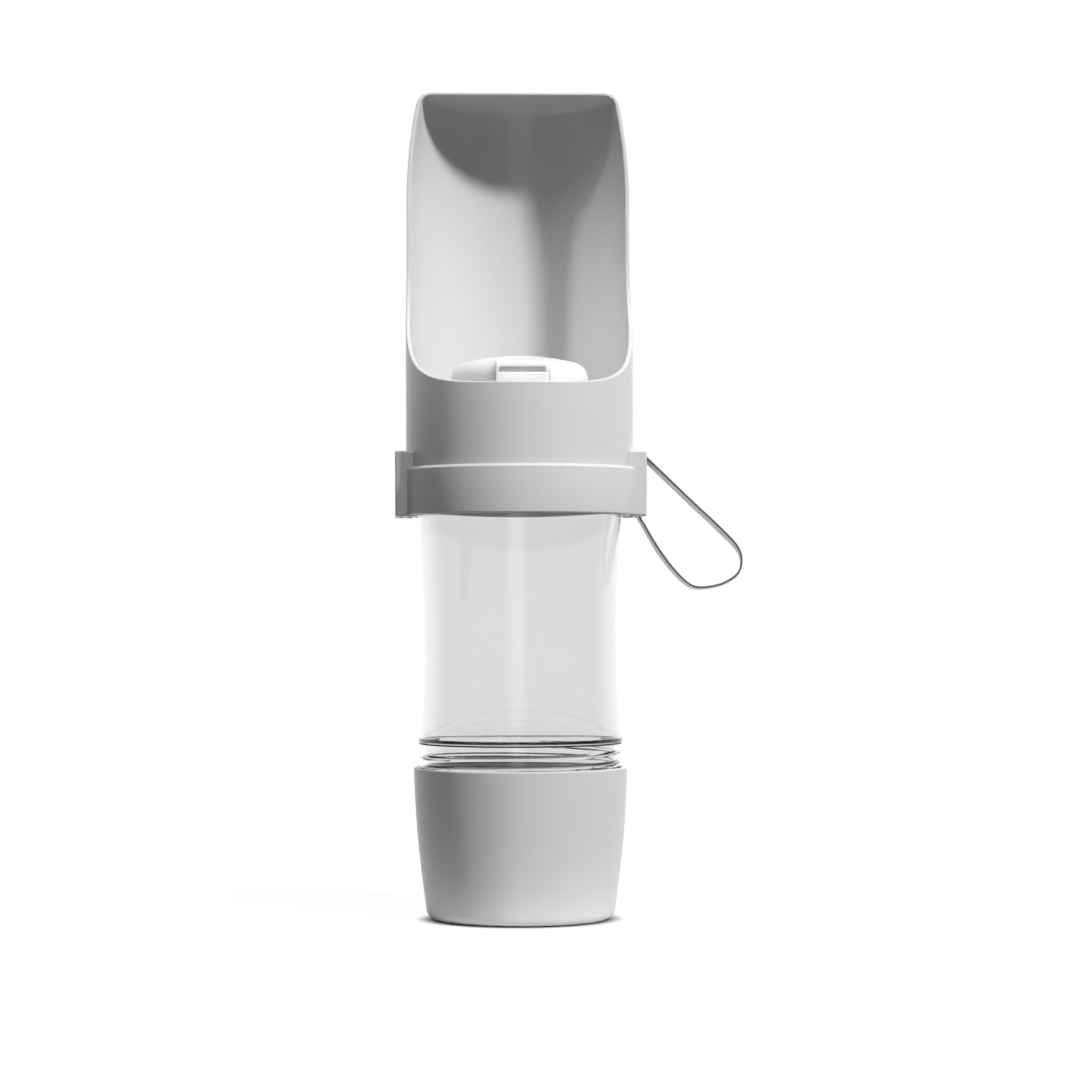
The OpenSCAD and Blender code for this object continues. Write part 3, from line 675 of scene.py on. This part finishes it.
bottle_outline = (
    # outside of the neck, the waist and the shoulder
    [(NECK_R - EDGE, NECK_Z), (NECK_R, NECK_Z + EDGE), (NECK_R, FOOT_Z - 0.25),
     (NECK_R + 0.25, FOOT_Z), (FOOT_R - 0.5, FOOT_Z)]
    + arc(FOOT_R - 0.5, FOOT_Z + 0.5, 0.5, -70, -10, 4)
    + bow(WAIST_R, waist_arc, FOOT_Z + 0.7, WAIST_Z + 36.6, 24)
    + [(SHOULDER_R, WAIST_Z + 38.5), (SHOULDER_R, 130)]
    + arc(SHOULDER_R - SHOULDER_EDGE, SHOULDER_Z - SHOULDER_EDGE, SHOULDER_EDGE, 0, 90, 8)
    # filling neck
    + [(FILL_R, SHOULDER_Z), (FILL_R, MOUTH_Z - EDGE), (27.1, MOUTH_Z), (26.3, MOUTH_Z),
       (FILL_BORE, MOUTH_Z - EDGE), (FILL_BORE, SHOULDER_Z - WALL)]
    # inside, back down to the neck
    + arc(*inner_edge, 0, 90, 6)[::-1]
    + [(SHOULDER_R - WALL, 128)]
    + bow(WAIST_R - WALL, waist_arc + WALL, WAIST_Z + 35.3, FOOT_Z + 1.2, 24)
    + [(NECK_R - WALL, FOOT_Z - 0.6), (NECK_R - WALL, NECK_Z + 0.2), (NECK_R - WALL + 0.2, NECK_Z)]
)
bottle = turned("clear_bottle", bottle_outline)
neck_ridge = [(29.9, 0), (30.15, 0.0), (30.9, 0.55), (30.95, 0.75), (30.9, 0.95), (30.15, 1.5),
              (29.9, 1.5)]
combine(bottle, thread("neck_thread", neck_ridge, 43.9, 2.55, fade=0.2, start_at=-80), "UNION")
fill_ridge = [(27.2, 0), (27.4, 0.0), (27.95, 0.5), (27.95, 0.8), (27.4, 1.3), (27.2, 1.3)]
combine(bottle, thread("filling_thread", fill_ridge, 144.5, 2.4), "UNION")
pick(bottle)
bpy.ops.object.shade_smooth_by_angle(angle=radians(30))
dress(bottle, clear_plastic, "bottle", "bottle_shell", slot="clear_plastic")

bottle_floor = turned("bottle_floor_disc", round_corners(
    [(0, 43.8), (24.7, 43.2), (28.7, 43.2), (28.7, 46.4), (27.5, 46.4), (26.9, 45.0), (0, 45.6)],
    {1: 4, 2: 0.3, 3: 0.3, 4: 0.3, 5: 0.5}, 4))
dress(bottle_floor, clear_plastic, "bottle", "bottle_floor", slot="clear_plastic")


# gaskets
foot_gasket = turned("foot_gasket", round_corners(
    [(30.3, 53.85), (31.2, 53.85), (31.2, 54.3), (30.3, 54.3)], 0.2, 4))
dress(foot_gasket, dark_silicone, "cup_seal", "cup_gasket", slot="dark_silicone")
mouth_gasket = turned("mouth_gasket", round_corners(
    [(26.0, 156.05), (27.7, 156.05), (27.7, 157.45), (26.0, 157.45)], 0.4, 4))
dress(mouth_gasket, pale_silicone, "neck_seal", "neck_gasket", slot="pale_silicone")


# food cup
# Its side is a long arc of CUP_SIDE, widest above the rim.
CUP_H, CUP_R, CUP_SIDE, CUP_WALL = 46.7, 32.9, 340, 1.8
CUP_EDGE, RIM_EDGE, PAN_EDGE = 3, 0.5, 4
HOLLOW_Z, PAN_Z = 0.8, 2.2
CUP_BORE, BORE_FOOT = 31.05, 34.6
cup_mid_z, cup_mid_r = CUP_H + 7.4, CUP_R + 0.08


def cup_side(z, inset=0):
    """Radius of the cup's side at this height, or that of its inside one wall further in."""
    return cup_mid_r - CUP_SIDE + sqrt((CUP_SIDE - inset) ** 2 - (z - cup_mid_z) ** 2)


base_r = cup_side(CUP_EDGE) - CUP_EDGE
pan_x = cup_side(6.2, CUP_WALL) - PAN_EDGE
side_heights = [3.6 + 42.4 * i / 24 for i in range(25)]
cup_outline = (
    # hollow under the foot, the foot ring and the outside
    [(0, HOLLOW_Z), (base_r - 8, HOLLOW_Z), (base_r - 4, HOLLOW_Z), (base_r - 3.4, 0),
     (base_r - 1.5, 0)]
    + arc(base_r, CUP_EDGE, CUP_EDGE, -90, -2, 10)
    + [(cup_side(z), z) for z in side_heights]
    # rim, bore for the neck and the pan
    + arc(cup_side(CUP_H) - RIM_EDGE, CUP_H - RIM_EDGE, RIM_EDGE, 12, 90, 5)
    + [(31.45, CUP_H), (31.15, CUP_H - 0.1), (CUP_BORE, CUP_H - 0.4)]
    + [(CUP_BORE, BORE_FOOT), (31.0, 34.2)]
    + [(cup_side(z, CUP_WALL), z) for z in (33.6, 30, 26, 22, 18, 14, 10, 7)]
    + arc(pan_x, 6.2, PAN_EDGE, 0, -90, 10)
    + [(16, PAN_Z), (8, PAN_Z), (0, PAN_Z)]
)
cup = turned("food_cup_shell", cup_outline, steps=160)
dress(cup, grey_abs, "cup", "food_cup", slot="pale_grey_plastic")
# The cup's own screw ridge runs in the space between the neck's turns.
cup_ridge = [(31.15, 0), (30.5, 0.3), (30.5, 0.75), (31.15, 1.05)]
cup_thread = thread("cup_thread", cup_ridge, 38.4, 1.9, fade=0.2, start_at=133)
dress(cup_thread, grey_abs, "cup", slot="pale_grey_plastic")


# outlet dome
DOME_FOOT, DOME_TOP, DOME_R = 160.35, 173.4, 21.2
DOME_EDGE, CROWN_R, DOME_WALL = 5, 68, 1.6
DISC_R, DISC_TOP, HOLLOW_R = 19.55, 162.15, 18.4
SLOT_FOOT, SLOT_TOP = 167.0, 168.65


def dome_curve(inset, foot):
    """Outline of the dome from its foot over its rounded edge to the middle of its crown."""
    edge, mid_r, crown = DOME_EDGE - inset, DOME_R - DOME_EDGE, DOME_TOP - CROWN_R
    mid_z = crown + sqrt((CROWN_R - DOME_EDGE) ** 2 - mid_r ** 2)
    lean = degrees(atan2(mid_z - crown, mid_r))
    return ([(DOME_R - inset, foot)] + arc(mid_r, mid_z, edge, 0, lean, 12)
            + arc(0, crown, CROWN_R - inset, lean + 1.5, 90, 9)[:-1] + [(0, DOME_TOP - inset)])


dome = turned("outlet_dome_shell", [(0, DOME_FOOT)] + dome_curve(0, DOME_FOOT))
spout = prism("spout", [(-9, DOME_FOOT), (-21.9, DOME_FOOT)]
              + [(-y, z) for y, z in arc(21.0, 169.6, 0.9, 0, 80, 6)] + [(-9, 171.7)], 8)
combine(dome, spout, "UNION")
# The dome is hollow over the turning disc, which sits in its wider foot.
hollow = turned("hollow", [(0, 158), (DISC_R, 158), (DISC_R, DISC_TOP), (HOLLOW_R, DISC_TOP)]
                + [p for p in dome_curve(DOME_WALL, DISC_TOP) if p[0] < HOLLOW_R])
combine(dome, hollow)
slot = prism("slot", [(-7.35, SLOT_FOOT), (7.35, SLOT_FOOT), (6.85, SLOT_TOP),
                      (-6.85, SLOT_TOP)], 4, plane="XZ")
shift(slot, y=-19.4)
combine(dome, slot)
soften(dome, 0.3, angle=38, weld=0.05)
dress(dome, white_abs, "knob", "outlet_dome", slot="white_plastic")


# neck cap, its sliding seal and its vent valve
# From the foot up: a flange with the seal's groove, the ribbed skirt that screws on the
# filling neck, and the plate that is the trough's floor, with the outlet's seat sunk in it.
CAP_FOOT, GROOVE_FOOT, GROOVE_TOP, FLANGE_TOP = 137.0, 139.4, 141.5, 143.4
BOSS_FOOT, PLATE_Z, SEAT_Z, TROUGH_Z = 154.6, 157.5, 158.6, 160.0
SPINDLE_R, BOSS_R, SEAT_R = 3.06, 5.6, 14.3
BORE_R, SCREW_R, GROOVE_R, PLATE_R, FLANGE_R = 28.2, 30.0, 31.8, 32.2, 33.3
PORT_R, PORT_AT = 3.2, (0, -8.5, 0)
VENT_R, VENT_AT = 1.15, (0, 24, 0)


def round_bars(name, x0, x1, width, z0, z1, count, first):
    """A ring of upright bars in mm round the bottle's axis, the first one at this angle."""
    bars = block(name, x0, x1, width, z0, z1)
    spin_round(first)
    bpy.ops.mesh.select_all(action="SELECT")
    bpy.ops.mesh.spin(steps=count - 1, dupli=True, angle=2 * pi * (count - 1) / count,
                      center=(0, 0, 0), axis=(0, 0, 1))
    return done(bars)


def drill(name, r, steps, middle):
    """A rod that cuts an upright hole through the cap's plate."""
    return turned(name, [(0, 157), (r, 157), (r, 161), (0, 161)], steps=steps, middle=middle)


cap = turned("neck_cap_body", round_corners(
    [(SPINDLE_R, BOSS_FOOT), (BOSS_R, BOSS_FOOT), (BOSS_R, PLATE_Z), (BORE_R, PLATE_Z),
     (BORE_R, CAP_FOOT), (FLANGE_R, CAP_FOOT), (FLANGE_R, GROOVE_FOOT), (GROOVE_R, GROOVE_FOOT),
     (GROOVE_R, GROOVE_TOP), (FLANGE_R, GROOVE_TOP), (FLANGE_R, FLANGE_TOP),
     (SCREW_R, FLANGE_TOP), (SCREW_R, PLATE_Z), (PLATE_R, PLATE_Z), (PLATE_R, TROUGH_Z),
     (SEAT_R, TROUGH_Z), (SEAT_R, SEAT_Z), (SPINDLE_R, SEAT_Z)],
    {1: 0.3, 2: 0.5, 3: 0.5, 4: 0.3, 5: 0.4, 6: 0.15, 9: 0.15, 10: 0.4, 11: 0.4, 12: 0.4,
     13: 0.6, 14: 0.8, 15: 0.2, 17: 0.3}, 4))
ribs = round_bars("ribs", 29.5, 31.5, 1.2, FLANGE_TOP - 0.3, PLATE_Z + 0.3, count=12, first=15)
combine(cap, ribs, "UNION")
combine(cap, round_bars("dog_notches", 32.3, 36, 5.6, CAP_FOOT - 1, 138.6, count=4, first=45))
combine(cap, drill("water_port", PORT_R, 48, PORT_AT))
combine(cap, drill("vent_hole", VENT_R, 32, VENT_AT))
soften(cap, 0.2, segments=2, weld=0.02)
# The cap's white is painted a shade greyer: painted shade against the strong light on its top.
dress(cap, white_abs_painted_shade, "cap", "neck_cap", slot="white_plastic")
seal = turned("sliding_seal", round_corners(
    [(31.85, 139.45), (33.6, 139.45), (33.6, 140.15), (33.3, 140.45), (33.6, 140.75),
     (33.6, 141.45), (31.85, 141.45)],
    {0: 0.2, 1: 0.3, 2: 0.2, 3: 0.25, 4: 0.2, 5: 0.3, 6: 0.2}, 4))
dress(seal, dark_silicone, "cap", "slide_seal", slot="dark_silicone")
vent = turned("umbrella_vent_valve", round_corners(
    [(0, 155.3), (0.8, 155.3), (1.6, 157.45), (1.1, 157.45), (1.1, 160.05), (2.3, 160.05),
     (2.2, 160.4), (1.2, 160.85), (0, 161.0)], {1: 0.2, 2: 0.1, 5: 0.1, 6: 0.15, 7: 0.8}, 4),
    steps=64, middle=VENT_AT)
dress(vent, pale_silicone, "cap", "vent_valve", slot="pale_silicone")


# small hidden pieces, kept from the frame as smoothed copies
for name, finish, body, slot_name in (
        ("valve_rotor", white_abs, "knob", "white_plastic"),
        ("spindle_o_ring", dark_silicone, "knob", "dark_silicone"),
        ("spindle_screw", steel, "knob", "steel"),
        ("spindle_washer", steel, "knob", "steel"),
        ("valve_seat", pale_silicone, "cap", "pale_silicone")):
    dress(smoothed(name), finish, body, name, slot=slot_name)


# floor and light
# What the bottle mirrors: a soft upright strip of light, STRIP_AT degrees beside the camera,
# in a studio that is dim in front and white at the back.
STRIP_AT, STRIP_CORE, STRIP_EDGE = -6, 1, 15
STRIP_LEVEL, FRONT_LEVEL, BACK_LEVEL = 1.7, 0.22, 1.5
SHADOW_NEAR, SHADOW_FAR = 0.1, 0.5
TABLE_SIZE, TABLE_SINK = 8, 0.2 * MM


def surround(tree, vector):
    """How bright the studio is in a direction from the bottle. The strip runs over the table
    and ends a little above the horizon."""
    toward = node(tree, "ShaderNodeVectorMath", {"operation": "NORMALIZE"}, {}, [(vector, 0)])
    parts = node(tree, "ShaderNodeSeparateXYZ", links=[(toward.outputs["Vector"], "Vector")])
    back = node(tree, "ShaderNodeMapRange", {},
                {"From Min": 0.0, "From Max": 1.0, "To Min": FRONT_LEVEL, "To Max": BACK_LEVEL},
                [(parts.outputs["Y"], "Value")])
    front = node(tree, "ShaderNodeMath", {"operation": "MULTIPLY"}, {1: -1.0},
                 [(parts.outputs["Y"], 0)])
    angle = node(tree, "ShaderNodeMath", {"operation": "ARCTAN2"}, {},
                 [(parts.outputs["X"], 0), (front.outputs[0], 1)])
    off = node(tree, "ShaderNodeMath", {"operation": "SUBTRACT"}, {1: radians(STRIP_AT)},
               [(angle.outputs[0], 0)])
    side = node(tree, "ShaderNodeMath", {"operation": "ABSOLUTE"}, {}, [(off.outputs[0], 0)])
    strip = node(tree, "ShaderNodeMapRange", {"interpolation_type": "SMOOTHSTEP"},
                 {"From Min": radians(STRIP_CORE), "From Max": radians(STRIP_EDGE),
                  "To Min": STRIP_LEVEL, "To Max": 0.0}, [(side.outputs[0], "Value")])
    low = node(tree, "ShaderNodeMapRange", {"interpolation_type": "SMOOTHSTEP"},
               {"From Min": 0.03, "From Max": 0.13, "To Min": 1.0, "To Max": 0.0},
               [(parts.outputs["Z"], "Value")])
    lit = node(tree, "ShaderNodeMath", {"operation": "MULTIPLY_ADD"}, {},
               [(strip.outputs["Result"], 0), (low.outputs["Result"], 1),
                (back.outputs["Result"], 2)])
    return lit.outputs[0]


def sight(tree):
    """Light path outputs: seen straight or through clear plastic, and seen in a reflection."""
    path = node(tree, "ShaderNodeLightPath")
    seen = node(tree, "ShaderNodeMath", {"operation": "MAXIMUM"}, {},
                [(path.outputs["Is Camera Ray"], 0), (path.outputs["Is Transmission Ray"], 1)])
    # A ray that went through a glossy clear wall is marked as glossy too.
    mirror = node(tree, "ShaderNodeMath", {"operation": "SUBTRACT", "use_clamp": True}, {},
                  [(path.outputs["Is Glossy Ray"], 0), (path.outputs["Is Transmission Ray"], 1)])
    return seen.outputs[0], mirror.outputs[0]


bpy.ops.object.select_all(action="DESELECT")
bpy.ops.mesh.primitive_plane_add(size=TABLE_SIZE)
floor = bpy.context.object
floor.name = "floor"
floor.location.z = -TABLE_SINK
made, tree, shader = material("white_table", Roughness=0.6)
seen, mirror = sight(tree)
# The table is white to its edge, a little greyer near the bottle so that the shadow shows,
# and carries a painted contact shadow where the cup's foot touches it.
painted_contact_shadow = node(tree, "ShaderNodeAmbientOcclusion", {"samples": 16}, {"Distance": 4 * MM})
dark = node(tree, "ShaderNodeMath", {"operation": "POWER"}, {1: 1.6}, [(painted_contact_shadow.outputs["AO"], 0)])
place = node(tree, "ShaderNodeTexCoord").outputs["Object"]
away = node(tree, "ShaderNodeVectorMath", {"operation": "LENGTH"}, {},
            [(place, 0)]).outputs["Value"]
fade = node(tree, "ShaderNodeMapRange", {},
            {"From Min": SHADOW_NEAR, "From Max": SHADOW_FAR, "To Min": 0.9, "To Max": 1.0},
            [(away, "Value")])
mirrored = surround(tree, place)
# Under the cup's edge the table throws back most of its light, further off little.
bounce = node(tree, "ShaderNodeMapRange", {},
              {"From Min": 34 * MM, "From Max": 62 * MM, "To Min": 0.8, "To Max": 0.06},
              [(away, "Value")])
tree.links.new(bounce.outputs["Result"], shader.inputs["Base Color"])
level = node(tree, "ShaderNodeMix", {"data_type": "FLOAT"}, {},
             [(mirror, 0), (fade.outputs["Result"], 2), (mirrored, 3)])
# The table's glow is darkened here by the painted contact shadow.
shaded = node(tree, "ShaderNodeMath", {"operation": "MULTIPLY"}, {},
              [(level.outputs[0], 0), (dark.outputs[0], 1)])
glow = node(tree, "ShaderNodeEmission", {}, {"Color": WHITE}, [(shaded.outputs[0], "Strength")])
either = node(tree, "ShaderNodeMath", {"operation": "MAXIMUM"}, {}, [(seen, 0), (mirror, 1)])
white = node(tree, "ShaderNodeMixShader", {}, {},
             [(either.outputs[0], 0), (shader.outputs[0], 1), (glow.outputs[0], 2)])
# A thin grey coat is lit by the lamps, so that the bottle's shadow shows on the table.
grey = node(tree, "ShaderNodeMapRange", {},
            {"From Min": SHADOW_NEAR, "From Max": SHADOW_FAR, "To Min": 0.14, "To Max": 0.0},
            [(away, "Value")])
thin = node(tree, "ShaderNodeBsdfDiffuse", {}, {}, [(grey.outputs["Result"], "Color")])
both = node(tree, "ShaderNodeAddShader", {}, {}, [(white.outputs[0], 0), (thin.outputs[0], 1)])
tree.links.new(both.outputs[0], tree.nodes["Material Output"].inputs["Surface"])
floor.data.materials.append(made)

world = bpy.data.worlds.new("studio")
bpy.context.scene.world = world
world.use_nodes = True
tree = world.node_tree
seen, mirror = sight(tree)
where = node(tree, "ShaderNodeTexCoord")
reflected = node(tree, "ShaderNodeBackground", {}, {"Color": WHITE},
                 [(surround(tree, where.outputs["Generated"]), "Strength")])
soft = node(tree, "ShaderNodeBackground", {}, {"Color": WHITE, "Strength": 0.02})
clear = node(tree, "ShaderNodeBackground", {}, {"Color": WHITE, "Strength": 1.0})
gloss = node(tree, "ShaderNodeMixShader", {}, {},
             [(mirror, 0), (soft.outputs[0], 1), (reflected.outputs[0], 2)])
mixed = node(tree, "ShaderNodeMixShader", {}, {},
             [(seen, 0), (gloss.outputs[0], 1), (clear.outputs[0], 2)])
tree.links.new(mixed.outputs[0], tree.nodes["World Output"].inputs["Surface"])


def aim(name, data, target, side, up, away, gloss):
    """Stands a lamp this far from its target in m, side degrees to the right of the camera
    and up degrees high. Gloss is the share of it that shows in reflections."""
    data.specular_factor = gloss
    made = bpy.data.objects.new(name, data)
    made.visible_camera = made.visible_transmission = False
    made.visible_glossy = gloss > 0
    bpy.context.scene.collection.objects.link(made)
    turn = radians(side) - TURN
    flat = away * cos(radians(up))
    made.location = target + Vector((flat * sin(turn), -flat * cos(turn), away * sin(radians(up))))
    made.rotation_euler = (target - made.location).to_track_quat("-Z", "Y").to_euler()


def soft_box(name, side, up, size, watts, gloss=0.0):
    """A square soft box of this size in m, 1.5 m from the bottle's middle."""
    data = bpy.data.lights.new(name, "AREA")
    data.size = size
    data.energy = watts
    aim(name, data, Vector((0, 0, 0.14)), side, up, 1.5, gloss)


def snoot(name, target, side, up, spread, radius, watts):
    """A lamp of this radius in m with a soft round beam, spread degrees wide, 1 m from its
    target in mm."""
    data = bpy.data.lights.new(name, "SPOT")
    data.spot_size = radians(spread)
    data.spot_blend = 1.0
    data.shadow_soft_size = radius
    data.energy = watts
    aim(name, data, Vector(target) * MM, side, up, 1.0, 0.0)


soft_box("key", 47, 38, 0.14, 23.6)
soft_box("top", 8, 64, 0.9, 12.2, gloss=0.15)
soft_box("left_rim", -140, 15, 0.5, 3.5)
soft_box("right_rim", 125, 15, 0.6, 3)
soft_box("back", 170, 15, 0.6, 13)
snoot("hood_light", (26, 19, 176), -62.5, 35, 5, 0.045, 35)
